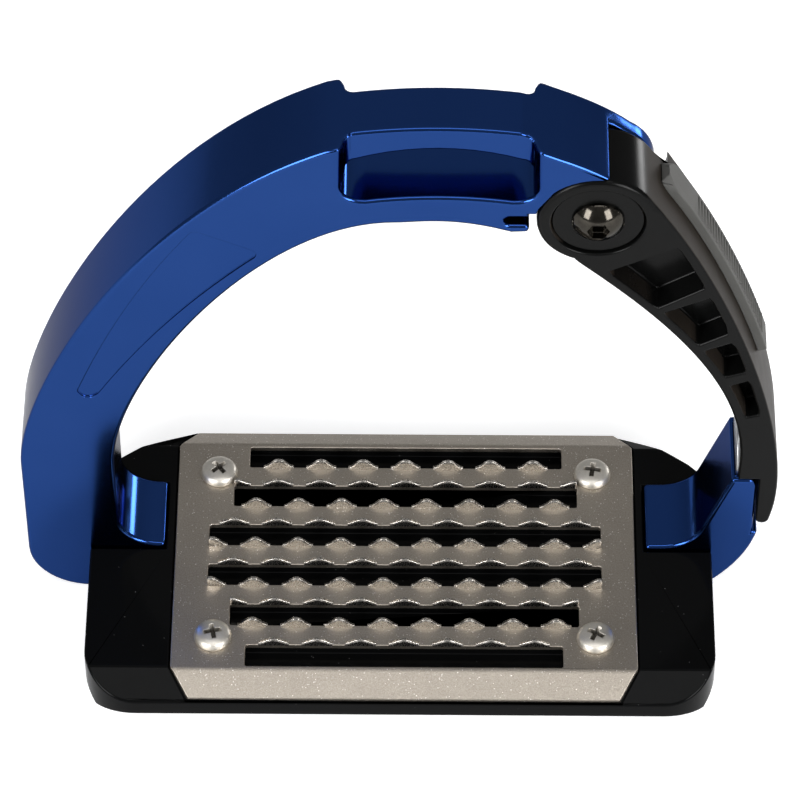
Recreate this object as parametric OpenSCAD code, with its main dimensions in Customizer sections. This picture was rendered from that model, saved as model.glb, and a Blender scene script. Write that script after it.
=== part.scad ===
// Safety stirrup iron: an aluminium frame with a sprung plastic arm that opens sideways, and a
// plastic footbed with a steel grater plate. The origin is on the floor, under the tread's middle,
// in the frame's mid-plane. X runs from the closed branch to the release arm, Y from front to back.

/* [Frame] */
// Clear width between the branch and the tower at the tread
inside_w = 122.4; // [115:1:132]
// Height of the crown's top above the floor
arch_h = 143.6; // [136:0.4:155]
// Height of the metal at the crown, from the inner curve to the top
crown_t = 23.7; // [21:0.1:26]
// Width of the closed branch
branch_w = 19.7; // [16:0.1:24]
// Depth of the frame's section, front to back
frame_t = 19.4; // [18:0.2:22]
// Amount that the frame's back face leans forward towards the floor
frame_taper = 2.2; // [0:0.1:3]
// Radius of the fillet between the branch and the base
fillet_r = 8.5; // [6:0.5:10]
// Radius of the foot's outer corner
foot_r = 13; // [8:0.5:15]
// Depth of the outlined panel on the branch
panel_d = 0.4; // [0.2:0.1:0.8]

/* [Leather eye] */
// Width of the slot for the stirrup leather
eye_w = 37.4; // [33:0.4:40]
// Height of the slot at its middle
eye_h = 9.7; // [8:0.1:11]
// Height of the bar over the slot at its middle
eye_bar_h = 6.1; // [5:0.1:7]
// Depth, front to back, of the bar over the slot
eye_bar_t = 11.6; // [9:0.2:13]

/* [Catch tower] */
// Height of the tower's top above the floor
tower_h = 38.4; // [36:0.2:42]
// Thickness of the tower at its top
tower_t = 5.2; // [4.8:0.2:6]
// Distance from the clear width's edge out to the tower's outer face
tower_out = 13; // [12.4:0.1:14]
// Radius of the keeper disc
keeper_r = 7.15; // [5:0.05:7.5]
// Thickness of the keeper disc
keeper_t = 1.3; // [1:0.1:1.5]

/* [Release arm] */
// Distance of the pivot from the tread's middle
pivot_x = 38.1; // [36:0.1:40]
// Depth of the pivot below the crown's top
pivot_drop = 23.1; // [22:0.1:24]
// Radius of the arm's round boss
boss_r = 12.2; // [12:0.1:13]
// Width of the rim around the arm's pockets
rim_t = 2.2; // [1.6:0.1:2.6]
// Depth of the arm's pockets on each face
pocket_d = 5.5; // [3:0.5:6]
// Width of the rubber strip on the arm's outer face
bumper_w = 7; // [5:0.5:12]
// Distance of the strip's middle behind the frame's mid-plane
bumper_y = 1.2; // [0:0.1:2.4]
// Height of the rubber strip over the arm's outer face
bumper_h = 2; // [1:0.2:2.6]
// Radius of the magnet in the arm
magnet_r = 4.5; // [3:0.25:5]
// Length of the magnet
magnet_l = 3.5; // [2:0.5:4]

/* [Pivot] */
// Radius of the pivot screw's shank
pivot_r = 3; // [2.5:0.25:3.25]
// Wall of the bearing sleeve
sleeve_wall = 1.4; // [1:0.1:1.6]
// Thickness of the frame's cheek behind the boss
cheek_t = 4; // [3:0.1:4.5]
// Radius of the cheek's round end
cheek_r = 11.5; // [10:0.1:12]
// Diameter of the return spring's wire
wire_d = 1.2; // [0.8:0.1:1.4]
// Number of coils in the return spring
spring_coils = 4; // [3:1:4]

/* [Tread] */
// Height of the tread plate's top above the floor
tread_h = 14.4; // [14:0.2:16]
// Width of the tread plate
plate_w = 98.6; // [96:0.1:99]
// Thickness of the tread plate
plate_t = 1.3; // [1:0.1:1.5]
// Depth, front to back, of the plate's flat
plate_flat = 59.2; // [58:0.4:62]
// Width of each bent strip along its slope
strip_w = 6.85; // [6:0.05:8]
// Angle that the strips are bent down by
strip_angle = 29; // [20:1:32]
// Distance from the frame's mid-plane forward to the plate's middle
plate_fwd = 11.7; // [10:0.1:12]
// Spacing of the slots, front to back
slot_pitch = 10.65; // [10.3:0.05:10.65]
// Height of the teeth on the slots' front edges
tooth_h = 2.3; // [1.5:0.1:2.5]
// Spacing of the teeth along a slot
tooth_pitch = 9.2; // [8.5:0.1:9.4]
// Spacing of the tread screws, side to side
screw_x = 81; // [80:0.5:82]
// Spacing of the tread screws, front to back
screw_y = 44; // [43:0.5:45]

/* [Footbed] */
// Width of the footbed
bed_w = 133.4; // [130:0.2:134]
// Distance from the clear width's edge in to the notch's inner wall
notch_in = 9.6; // [9:0.1:9.8]
// Height of the footbed's front wall
rim_h = 4.1; // [3:0.1:5]
// Radius of the footbed's front corners
bed_corner_r = 11; // [8:0.5:13]
// Thickness of the sole plate
sole_t = 2.4; // [2:0.1:3]
// Thickness of the base bar under the footbed
bar_t = 5.6; // [5:0.2:6]

/* [Fits] */
// Gap between pieces that only lie beside each other
gap = 0.3; // [0.3:0.05:0.4]
// Running clearance of the arm on its sleeve and washers
run = 0.05; // [0.03:0.01:0.08]

/* [Hidden] */
$fn = 96;

blue = [0.13, 0.27, 0.55];
black = [0.07, 0.07, 0.075];
steel = [0.62, 0.60, 0.56];
brass = [0.75, 0.60, 0.30];

// The frame's outline, in the X-Z plane
half_in = inside_w / 2;
half_t = frame_t / 2;
branch_out = half_in + branch_w;
shelf_h = tread_h + 0.8;        // top of the base where it leaves the branch
bar_top = sole_t + bar_t;
foot_arc_r = 35;                // outer curve under the tower's ledge
ledge_h = 20.4;                 // the ledge outside the tower
ledge_out = 1.7;                // the ledge's reach beyond the tower's face
tower_x = half_in + tower_out;
tower_corner = [0.8, 2];        // the tower's outer top corner is cut off by this much
shelf_x = half_in - notch_in;   // the shelf ends inside the footbed's notch
crown_z = arch_h - crown_t;
bow_z = arch_h + 2.3;           // the outer curve would peak here over the eye's bar

// The leather eye
eye_x = 6.6;
eye_corner_r = 4;
eye_floor_r = 80;               // the slot's floor is part of this circle
eye_roof_r = 43;
eye_bar_r = 100;                // and the bar's top of this one
eye_fillet_r = 2;               // fillet between the bar and the shoulders, seen from above
eye_top = arch_h - eye_bar_h;
eye_floor = eye_top - eye_h;
eye_l = eye_x - eye_w / 2;
eye_r = eye_x + eye_w / 2;

// Pivot, arm and catch
pivot_z = arch_h - pivot_drop;
cheek_y = half_t - cheek_t;     // front face of the back cheek
boss_cut_r = boss_r + gap;
shoulder_x = pivot_x + 2.4;     // the metal in front of the cheek ends here
shoulder_corner_r = 2;
end_x = pivot_x - 13.6;         // the frame's end face, below the boss
end_h = 2.5;                    // the end face's top and foot lie this far above and below the pivot
end_drop = 3;
washer_t = 0.8;
rear_washer_t = 0.5;
boss_back = cheek_y - rear_washer_t - 2 * run;
sleeve_r = pivot_r + sleeve_wall;
recess_d = 0.8;                 // the front washer's face lies this far below the boss's face
washer_r = 9.1;
head_r = 5.25;
head_h = 3.3;
coil_r = sleeve_r + 1.1 + wire_d / 2;
coil_gap = 0.15;
spring_pitch = wire_d + coil_gap;
spring_back = cheek_y - rear_washer_t - 1.1;
spring_turns = spring_coils + 0.375;
spring_start_y = spring_back - wire_d / 2;
spring_end_y = spring_start_y - spring_pitch * spring_turns;
well_r = coil_r + wire_d / 2 + 0.7;
leg_slot = wire_d + 1.2;
leg_rise = 0.2;                 // the root leg's slot lies this far above the pivot
leg_slot_x = end_x - 3.7;       // middle of the slot's round end
leg_root_x = pivot_x - 17;
leg_gap_angle = 10;             // half the gap in the rear washer for the leg
leg_arm_r = 10.2;
groove_w = wire_d + 0.6;
open_angle = 50;
lip_in = tower_x + gap;
shoulder_z = tower_h + gap;
tip_z = ledge_h + 3.3;
lip_t = 3;
heel_x = half_in + 8.9;
keeper_x = tower_x - tower_t + 0.75;
keeper_z = tower_h + 1.2;
keeper_y = -frame_taper * (1 - keeper_z / arch_h) / 2;
recess_x = keeper_x + keeper_t + gap;
magnet_z = shoulder_z + magnet_r + 1.4;

// The frame's and the arm's edges are cubic curves, given by their end and handle points
outer_left = [[-branch_out, arch_h - 101.8], [-branch_out, arch_h - 76.1],
    [eye_x - 51.8, bow_z], [eye_x, bow_z]];
outer_right = [[eye_x, bow_z], [eye_x + 11.6, bow_z],
    [pivot_x + cheek_r + 0.2, pivot_z + 13], [pivot_x + cheek_r, pivot_z]];
inner_left = [[-half_in, crown_z - 77.8], [-half_in, crown_z - 52.9], [-30.7, crown_z], [-2, crown_z]];
inner_right = [[-2, crown_z], [2, crown_z], [8.9, crown_z + 2.1], [end_x - 3.6, pivot_z - end_drop - 0.2]];
arm_outer = [[pivot_x + 10.6, pivot_z + 6], [pivot_x + 26.7, pivot_z - 17.2],
    [lip_in + lip_t + 5.7, tip_z + 27.5], [lip_in + lip_t, tip_z + lip_t / 2]];
arm_inner = [[pivot_x - 10.9, pivot_z - 5.3], [pivot_x + 11.7, pivot_z - 25.9],
    [heel_x + 2.2, shoulder_z + 31.8], [heel_x, shoulder_z + 1.9]];
// Each pocket runs between two stations of the inner edge and two of the outer edge
arm_pockets = [[0.17, 0.34, 0.15, 0.28], [0.357, 0.50, 0.305, 0.41],
    [0.52, 0.63, 0.433, 0.52], [0.66, 0.79, 0.54, 0.642]];
edge_steps = 50;                // stations along each of the arm's edges
pocket_corner_r = 0.8;
bumper_steps = [2, 27];         // the stations where the rubber strip starts and ends

// Tread plate and footbed
plate_y = -plate_fwd;
crease_front = plate_y - plate_flat / 2;
crease_back = plate_y + plate_flat / 2;
strip_run = strip_w * cos(strip_angle);
plate_under = tread_h - plate_t;
corner_x = 3.8;                 // the strips' ends are cut back by this much
slot_w = 5.5;
slot_halves = [33.9, 37.1, 42.1, 42.1, 37.1, 33.6];
slot_margin = 0.3;              // from the back crease to the first slot
tooth_w = 6.5;
tooth_d = 1;
back_tooth_h = tooth_h - 1;
bed_x = -0.9;
pad_top = tread_h - 0.3;
bed_front = crease_front - strip_run - 0.7;
bed_back = crease_back + strip_run + 0.7;
pad_front_z = pad_top - (crease_front - bed_front) * tan(strip_angle);
pad_back_z = pad_top - (bed_back - crease_back) * tan(strip_angle);
plate_clear = gap;
notch_front = -half_t - gap;
mud_d = 2;                      // depth of the mud space under the slots
screw_ys = [plate_y + screw_y / 2, plate_y - screw_y / 2];
screw_r = 2;
pan_r = 4;
pan_h = 2.4;
insert_r = 2.9;
insert_z = bar_top + gap;
insert_l = plate_under - gap - insert_z;
screw_l = tread_h - insert_z - 0.1;
base_screw_x = 24;
base_screw_r = 2.5;
base_head_r = 4.6;
base_insert_r = 3.4;
base_insert_l = plate_under - mud_d - bar_top - 2 * gap;
sole_l = inside_w - 2.4;
sole_front = crease_front + 4;
sole_back = crease_back - 3;

function arc(c, r, a0, a1, n = 12) =
    [for (i = [0:n]) let (a = a0 + (a1 - a0) * i / n) c + r * [cos(a), sin(a)]];

function bezier(p, t) = pow(1 - t, 3) * p[0] + 3 * pow(1 - t, 2) * t * p[1]
    + 3 * (1 - t) * t * t * p[2] + pow(t, 3) * p[3];

function bezier_slope(p, t) = pow(1 - t, 2) * (p[1] - p[0])
    + 2 * (1 - t) * t * (p[2] - p[1]) + t * t * (p[3] - p[2]);

// A point beside the curve: a positive side lies to the left of its direction
function beside(p, t, side) = let (d = bezier_slope(p, t)) bezier(p, t) + side * [-d[1], d[0]] / norm(d);

function edge(p, t0, t1, side = 0, n = 24) =
    [for (i = [0:n]) beside(p, t0 + (t1 - t0) * i / n, side)];

// Draws a 2D outline in the X-Z plane and gives it the depth from y0 to y1
module upright(y0, y1) {
    translate([0, y1, 0]) rotate([90, 0, 0]) linear_extrude(y1 - y0) children();
}

// Draws a 2D outline in the Y-Z plane and gives it the length from x0 to x1
module sideways(x0, x1) {
    translate([x0, 0, 0]) rotate([90, 0, 90]) linear_extrude(x1 - x0) children();
}

// A cylinder along Y about the arm's pivot
module pivot_round(r, y0, y1) {
    translate([pivot_x, y1, pivot_z]) rotate([90, 0, 0]) cylinder(r = r, h = y1 - y0);
}

// The frame's back face at height z
function back_y(z) = half_t - frame_taper * (1 - z / arch_h);

// Space between a plane at the front and the back face, moved in by an inset
module depth_wedge(front_y, inset = 0) {
    top = arch_h + 5;
    sideways(-branch_out - 5, branch_out + 5)
        polygon([[front_y, -1], [back_y(-1) - inset, -1], [back_y(top) - inset, top], [front_y, top]]);
}

module frame_outline() {
    foot_arc_c = [tower_x + ledge_out - foot_arc_r, ledge_h + 6.6];
    tower_top_in = tower_x - tower_t;
    lean = atan2(tower_h - shelf_h, tower_top_in - half_in);
    fillet_in = fillet_r * tan(lean / 2);
    foot_x = foot_arc_c[0] + sqrt(pow(foot_arc_r, 2) - pow(foot_arc_c[1], 2));
    polygon(concat(
        edge(outer_right, 1, 0), edge(outer_left, 1, 0, 0, 40),
        arc([foot_r - branch_out, foot_r], foot_r, 180, 270),
        [[-sole_l / 2, 0], [-sole_l / 2, sole_t], [sole_l / 2, sole_t], [sole_l / 2, 0]],
        arc(foot_arc_c, foot_arc_r, -acos((foot_x - foot_arc_c[0]) / foot_arc_r),
            -asin((foot_arc_c[1] - ledge_h) / foot_arc_r)),
        [[tower_x, ledge_h], [tower_x, tower_h - tower_corner[1]],
            [tower_x - tower_corner[0], tower_h], [tower_top_in, tower_h]],
        arc([half_in - fillet_in, shelf_h + fillet_r], fillet_r, lean - 90, -90),
        [[shelf_x, shelf_h], [shelf_x, bar_top], [-shelf_x, bar_top], [-shelf_x, shelf_h]],
        arc([fillet_r - half_in, shelf_h + fillet_r], fillet_r, 270, 180),
        edge(inner_left, 0, 1, 0, 40), edge(inner_right, 0, 1),
        [[end_x, pivot_z - end_drop], [pivot_x, pivot_z - end_drop]]));
}

// The slot's floor and roof heights across its width
function eye_floor_z(x) = eye_floor - pow(x - eye_x, 2) / (2 * eye_floor_r);
function eye_roof_z(x) = eye_top - pow(x - eye_x, 2) / (2 * eye_roof_r);
function eye_bar_z(x) = arch_h - pow(x - eye_x, 2) / (2 * eye_bar_r);

function eye_floor_edge() = let (r = eye_corner_r) concat(
    arc([eye_l + r, eye_floor_z(eye_l + r) + r], r, 180, 270, 8),
    [for (i = [1:9]) let (x = eye_l + r + (eye_w - 2 * r) * i / 10) [x, eye_floor_z(x)]],
    arc([eye_r - r, eye_floor_z(eye_r - r) + r], r, 270, 360, 8));

function eye_roof_edge() = let (r = eye_corner_r * 0.6) concat(
    arc([eye_r - r, eye_roof_z(eye_r - r) - r], r, 0, 90, 6),
    [for (i = [1:9]) let (x = eye_r - r - (eye_w - 2 * r) * i / 10) [x, eye_roof_z(x)]],
    arc([eye_l + r, eye_roof_z(eye_l + r) - r], r, 90, 180, 6));

module eye_slot_outline() {
    polygon(concat(eye_floor_edge(), eye_roof_edge()));
}

module eye_pocket_outline() {
    polygon(concat(eye_floor_edge(), [[eye_r, arch_h + 5], [eye_l, arch_h + 5]]));
}

// The space above the bar, whose top runs on into the outer curve on both sides
module above_bar_outline() {
    reach = eye_w * 0.7;
    polygon(concat([for (i = [0:24]) let (x = eye_x - reach + 2 * reach * i / 24) [x, eye_bar_z(x)]],
        [[eye_x + reach, bow_z + 2], [eye_x - reach, bow_z + 2]]));
}

// Plan of the pocket behind the bar: a fillet joins the bar to each shoulder
module eye_pocket_plan() {
    r = eye_fillet_r;
    fillet_y = eye_bar_t / 2 + r;
    polygon(concat([[eye_l - 1, half_t + 1], [eye_l - 1, fillet_y]], arc([eye_l + r, fillet_y], r, 180, 270, 6),
        arc([eye_r - r, fillet_y], r, 270, 360, 6), [[eye_r + 1, fillet_y], [eye_r + 1, half_t + 1]]));
}

function quadratic(a, b, c, n = 12) =
    [for (i = [0:n]) let (t = i / n) pow(1 - t, 2) * a + 2 * (1 - t) * t * b + t * t * c];

// The tapered panel on the branch: its edges keep their distances from the branch's own edges
module panel_outline() {
    corner_r = 1.5;
    inner_top = [-half_in + 32.5, arch_h - 32.8];
    inner_bow = [-half_in + 12.4, arch_h - 51.6];
    inner_foot = [-half_in - 2.2, arch_h - 77.5];
    tip = [-branch_out + 15.1, arch_h - 79.2];
    outer_foot = [-branch_out + 13.1, arch_h - 76.9];
    outer_bow = [-branch_out + 23.7, arch_h - 47];
    outer_top = [-half_in + 19, arch_h - 26];
    offset(r = corner_r, $fn = 32) offset(delta = -corner_r)
        polygon(concat(quadratic(inner_top, inner_bow, inner_foot), [tip],
            quadratic(outer_foot, outer_bow, outer_top)));
}

module keeper_shape(r, t) {
    translate([keeper_x - (t - keeper_t) / 2, keeper_y, keeper_z]) rotate([0, 90, 0]) cylinder(r = r, h = t);
}

// What the rounded corner takes off the metal over the boss
module shoulder_corner_outline() {
    r = shoulder_corner_r;
    reach = boss_cut_r + r;
    back = asin((shoulder_x - r - pivot_x) / reach);
    c = [shoulder_x - r, pivot_z + reach * cos(back)];
    polygon(concat([[pivot_x, pivot_z], [shoulder_x + 1, pivot_z], [shoulder_x + 1, c[1]]],
        arc(c, r, 0, -90 - back, 8)));
}

module frame() {
    deep = frame_t + 2;
    color(blue) difference() {
        intersection() {
            union() {
                difference() {
                    upright(-half_t, half_t) frame_outline();
                    // room in front of the cheek for the boss and the arm
                    pivot_round(boss_cut_r, -half_t - 1, cheek_y);
                    translate([end_x, cheek_y - deep, pivot_z - 2 * boss_r])
                        cube([boss_r, deep, 2 * boss_r + end_h]);
                    translate([shoulder_x, cheek_y - deep, pivot_z - boss_r])
                        cube([2 * boss_r, deep, 3 * boss_r]);
                    upright(cheek_y - deep, cheek_y) shoulder_corner_outline();
                }
                pivot_round(cheek_r, cheek_y, half_t);
            }
            depth_wedge(-half_t - 1);
        }
        upright(-half_t - 1, half_t + 1) eye_slot_outline();
        upright(-half_t - 1, half_t + 1) above_bar_outline();
        for (s = [0, 1]) mirror([0, s, 0]) intersection() {
            upright(0, half_t + 1) eye_pocket_outline();
            linear_extrude(bow_z + 2) eye_pocket_plan();
        }
        difference() {
            upright(-half_t - 1, half_t + 1) panel_outline();
            depth_wedge(panel_d - half_t, panel_d);
        }
        pivot_round(pivot_r + run, cheek_y - 1, half_t + 1);
        // slot for the spring's leg, open at the end face
        translate([leg_slot_x, -deep / 2, pivot_z + leg_rise - leg_slot / 2])
            cube([end_x - leg_slot_x + 1, deep, leg_slot]);
        translate([leg_slot_x, deep / 2, pivot_z + leg_rise]) rotate([90, 0, 0])
            cylinder(r = leg_slot / 2, h = deep);
        keeper_shape(keeper_r + run, keeper_t + 2 * run);
        for (s = [-1, 1])
            translate([s * base_screw_x, 0, 0]) cylinder(r = base_screw_r + 0.2, h = 3 * bar_top);
    }
}

// Right half of the footbed's plan, front to back: a rounded front corner, the lobe beside the
// frame and a back corner cut off by a shallow curve
function bed_edge() =
    let (half = bed_w / 2, r = bed_corner_r, lobe = half - 1.3, bulge = 0.4,
        cut_from = [half - 4.2, half_t + 4.2], cut_to = [half - 21.4, bed_back])
    concat(arc([half - r, bed_front + r], r, 270, 360),
        [[half, half_t], [lobe, half_t], [lobe, half_t + 1.3]],
        [for (i = [0:8]) let (a = i / 8)
            cut_from + (cut_to - cut_from) * a + bulge * sin(180 * a) * [1, 1]]);

module bed_plan() {
    right = bed_edge();
    last = len(right) - 1;
    translate([bed_x, 0])
        polygon(concat(right, [for (i = [0:last]) [-right[last - i][0], right[last - i][1]]]));
}

// Section of the footbed, front to back: sloped rims and an undercut down to the sole
module bed_section() {
    polygon([[bed_front, pad_front_z], [crease_front, pad_top], [crease_back, pad_top],
        [bed_back, pad_back_z], [bed_back, pad_back_z - rim_h + 1], [sole_back, 0],
        [sole_front, 0], [bed_front, pad_front_z - rim_h]]);
}

// Section of the footbed, side to side
module bed_profile() {
    half = bed_w / 2;
    translate([bed_x, 0]) polygon([[-half, tread_h + 1], [half, tread_h + 1],
        [half, pad_front_z - rim_h], [sole_l / 2 + 1, 0], [-sole_l / 2 - 1, 0],
        [-half, pad_front_z - rim_h]]);
}

// Plan of the tread plate, grown by a clearance
module plate_plan(grow = 0) {
    half = plate_w / 2 + grow;
    front = crease_front - strip_run - grow;
    back = crease_back + strip_run + grow;
    polygon([[-half, crease_front], [-half + corner_x, front], [half - corner_x, front],
        [half, crease_front], [half, crease_back], [half - corner_x, back],
        [-half + corner_x, back], [-half, crease_back]]);
}

// Section of the bent plate: its top face at height z, its thickness t, grown past its ends
module plate_section(z, t, grow = 0) {
    reach = strip_run + grow;
    fall = reach * tan(strip_angle);
    polygon([[crease_front - reach, z - fall], [crease_front, z], [crease_back, z],
        [crease_back + reach, z - fall], [crease_back + reach, z - fall - t],
        [crease_back, z - t], [crease_front, z - t], [crease_front - reach, z - fall - t]]);
}

// Front edge of a slot, counted from the back
function slot_front(i) = crease_back - slot_margin - slot_w - i * slot_pitch;

module screw_places() {
    for (x = [-screw_x / 2, screw_x / 2], y = screw_ys)
        translate([x, y, 0]) children();
}

module footbed() {
    plate_reach = 5;            // the plate's recess runs this far above and beyond it
    notch_d = back_y(tread_h) + gap - notch_front;
    color(black) difference() {
        intersection() {
            linear_extrude(tread_h + 1) bed_plan();
            sideways(-bed_w, bed_w) bed_section();
            upright(bed_front - 1, bed_back + 1) bed_profile();
        }
        intersection() {
            linear_extrude(tread_h + 1) plate_plan(plate_clear);
            sideways(-bed_w, bed_w) plate_section(plate_under + plate_reach, plate_reach, plate_reach);
        }
        for (i = [0:5])
            translate([-slot_halves[i] - 1, slot_front(i) - 0.5, plate_under - mud_d])
                cube([2 * slot_halves[i] + 2, slot_w + 1, mud_d + 1]);
        translate([-bed_w, notch_front, -1]) cube([2 * bed_w, notch_d, bar_top + gap + 1]);
        for (s = [0, 1]) mirror([s, 0, 0])
            translate([shelf_x - gap, notch_front, -1]) cube([bed_w, notch_d, tread_h + 3]);
        translate([-sole_l / 2 - gap, sole_front - 1, -1])
            cube([sole_l + 2 * gap, sole_back - sole_front + 2, sole_t + gap + 1]);
        screw_places() translate([0, 0, insert_z]) cylinder(r = insert_r, h = tread_h);
        for (s = [-1, 1]) translate([s * base_screw_x, 0, 0])
            cylinder(r = base_insert_r, h = bar_top + gap + base_insert_l);
    }
}

module sole_plate() {
    color(black) difference() {
        translate([-sole_l / 2, sole_front, 0])
            cube([sole_l, sole_back - sole_front, sole_t]);
        for (s = [-1, 1]) translate([s * base_screw_x, 0, 0]) {
            translate([0, 0, -1]) cylinder(r = base_screw_r + 0.2, h = sole_t + 2);
            translate([0, 0, 0.2])
                cylinder(r1 = base_head_r + 0.1, r2 = base_screw_r + 0.1, h = sole_t - 0.2);
            translate([0, 0, -1]) cylinder(r = base_head_r + 0.1, h = 1.2);
        }
    }
}

// One row of half-round teeth along a slot's edge
module tooth_row(y, half, h, offset_x) {
    count = ceil(half / tooth_pitch);
    root = 0.1;
    rise = h + root;
    r = (pow(tooth_w / 2, 2) + pow(rise, 2)) / (2 * rise);
    upright(y, y + tooth_d) intersection() {
        union() for (k = [-count:count]) let (x = k * tooth_pitch + offset_x)
            if (abs(x) <= half) translate([x, tread_h + h - r]) circle(r = r);
        translate([-half, tread_h - root]) square([2 * half, rise + 1]);
    }
}

module tread_plate() {
    color(steel) union() {
        difference() {
            intersection() {
                linear_extrude(tread_h + 1) plate_plan();
                sideways(-plate_w, plate_w) plate_section(tread_h, plate_t);
            }
            for (i = [0:5])
                translate([-slot_halves[i], slot_front(i), 0])
                    cube([2 * slot_halves[i], slot_w, tread_h + 1]);
            screw_places() cylinder(r = screw_r + 0.2, h = tread_h + 1);
        }
        for (i = [0:4])
            tooth_row(slot_front(i) - tooth_d / 2, slot_halves[i], tooth_h, i == 0 ? 0 : tooth_pitch / 2);
        for (i = [1:5])
            tooth_row(slot_front(i) + slot_w, slot_halves[i], back_tooth_h, 0);
    }
}

module tread_screws() {
    color(steel) screw_places() difference() {
        union() {
            translate([0, 0, tread_h]) cylinder(r = pan_r, h = pan_h * 0.45);
            translate([0, 0, tread_h + pan_h * 0.45])
                intersection() {
                    translate([0, 0, pan_h * 0.55 - 6.7]) sphere(r = 6.7);
                    cylinder(r = pan_r, h = pan_h);
                }
            translate([0, 0, tread_h - screw_l]) cylinder(r = screw_r, h = screw_l);
        }
        for (a = [0, 90]) rotate([0, 0, a])
            translate([-2.1, -0.45, tread_h + pan_h - 1.5]) cube([4.2, 0.9, 2]);
    }
}

module tread_inserts() {
    color(brass) screw_places() translate([0, 0, insert_z])
        difference() {
            cylinder(r = insert_r, h = insert_l);
            translate([0, 0, -1]) cylinder(r = screw_r, h = insert_l + 2);
        }
}

module base_screws() {
    color(steel) for (s = [-1, 1]) translate([s * base_screw_x, 0, 0]) difference() {
        union() {
            translate([0, 0, 0.2]) cylinder(r1 = base_head_r, r2 = base_screw_r, h = sole_t - 0.2);
            translate([0, 0, 1]) cylinder(r = base_screw_r, h = bar_top + gap + base_insert_l - 1.3);
        }
        translate([0, 0, -1]) cylinder(r = 1.6, h = 2.8, $fn = 6);
    }
}

module base_inserts() {
    color(brass) for (s = [-1, 1]) translate([s * base_screw_x, 0, bar_top + gap])
        difference() {
            cylinder(r = base_insert_r, h = base_insert_l);
            translate([0, 0, -1]) cylinder(r = base_screw_r, h = base_insert_l + 2);
        }
}

module keeper_disc() {
    color(steel) keeper_shape(keeper_r, keeper_t);
}

module arm_outline() {
    tip_c = [lip_in + lip_t / 2, tip_z + lip_t / 2];
    polygon(concat(edge(arm_outer, 0, 1, 0, edge_steps), arc(tip_c, lip_t / 2, 0, -180, 10),
        [[lip_in, shoulder_z], [heel_x, shoulder_z]], edge(arm_inner, 1, 0, 0, edge_steps)));
}

module pocket_outline(s) {
    offset(r = pocket_corner_r, $fn = 32) offset(delta = -pocket_corner_r)
        polygon(concat(edge(arm_inner, s[0], s[1], rim_t, 8), edge(arm_outer, s[3], s[2], -rim_t, 8)));
}

module sector(r, a0, a1) {
    polygon(concat([[0, 0]], arc([0, 0], r, a0, a1, 16)));
}

module release_arm() {
    neck_r = cheek_r + 2.6;
    well_front = spring_end_y - wire_d / 2 - gap;
    window_y = spring_back - wire_d - 0.8;
    keeper_room = 0.6;
    recess_w = keeper_r + keeper_room;
    recess_l = recess_x - heel_x + lip_t;
    color(black) difference() {
        union() {
            pivot_round(boss_r, -half_t, boss_back);
            difference() {
                intersection() {
                    upright(-half_t, half_t) arm_outline();
                    depth_wedge(-half_t - 1);
                }
                // room for the frame's cheek behind the boss
                pivot_round(neck_r, boss_back, half_t + 1);
            }
        }
        // bearing, spring well and the counterbore for the front washer
        pivot_round(sleeve_r + run, -half_t - 1, half_t);
        pivot_round(well_r, well_front, half_t);
        pivot_round(washer_r + gap, -half_t - 1, -half_t + recess_d + washer_t + run);
        // window in the boss's wall for the spring's frame leg, as wide as the arm's travel
        translate([pivot_x, 0, pivot_z]) upright(window_y, half_t)
            sector(boss_r + 3, 180 - open_angle - 9, 180 + 15);
        // groove for the spring's arm leg
        translate([pivot_x, well_front, pivot_z]) rotate([0, 45, 0])
            translate([0, 0, -groove_w / 2]) cube([leg_arm_r + 0.6, frame_t, groove_w]);
        for (s = arm_pockets, y = [-half_t - 1, half_t - pocket_d])
            upright(y, y + pocket_d + 1) pocket_outline(s);
        // recess around the keeper disc, with the magnet's pocket
        translate([recess_x - recess_l, keeper_y - recess_w, shoulder_z - lip_t])
            cube([recess_l, 2 * recess_w, keeper_z + recess_w - shoulder_z + lip_t]);
        translate([recess_x, keeper_y, magnet_z]) rotate([0, 90, 0]) translate([0, 0, -1])
            cylinder(r = magnet_r, h = magnet_l + 1);
    }
}

module arm_bumper() {
    from = bumper_steps[0] / edge_steps;
    to = bumper_steps[1] / edge_steps;
    n = bumper_steps[1] - bumper_steps[0];
    r = bumper_w / 2;
    top_z = beside(arm_outer, from, bumper_h)[1];
    color([0.37, 0.37, 0.36]) intersection() {
        upright(bumper_y - r, bumper_y + r)
            polygon(concat(edge(arm_outer, from, to, 0, n), edge(arm_outer, to, from, bumper_h, n)));
        // the strip's upper end is round
        sideways(pivot_x, tower_x + boss_r)
            polygon(concat(arc([bumper_y, top_z - r], r, 180, 0), [[bumper_y + r, 0], [bumper_y - r, 0]]));
    }
}

module arm_magnet() {
    color(steel) translate([recess_x, keeper_y, magnet_z]) rotate([0, 90, 0])
        cylinder(r = magnet_r, h = magnet_l);
}

module pivot_screw() {
    head_y = -half_t + recess_d;
    color([0.2, 0.2, 0.21]) difference() {
        union() {
            pivot_round(pivot_r, head_y - 1, back_y(pivot_z) - gap);
            intersection() {
                pivot_round(head_r, head_y - head_h, head_y);
                translate([pivot_x, head_y - head_h + 6.4, pivot_z]) sphere(r = 6.4);
            }
        }
        translate([pivot_x, head_y - head_h + 2, pivot_z]) rotate([90, 0, 0])
            cylinder(r = 2.3, h = 4, $fn = 6);
    }
}

module pivot_sleeve() {
    color(steel) difference() {
        pivot_round(sleeve_r, -half_t + recess_d + washer_t, cheek_y);
        pivot_round(pivot_r + run, -half_t, half_t);
    }
}

module front_washer() {
    color(black) difference() {
        pivot_round(washer_r, -half_t + recess_d, -half_t + recess_d + washer_t);
        pivot_round(pivot_r + run, -half_t, half_t);
    }
}

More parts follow.
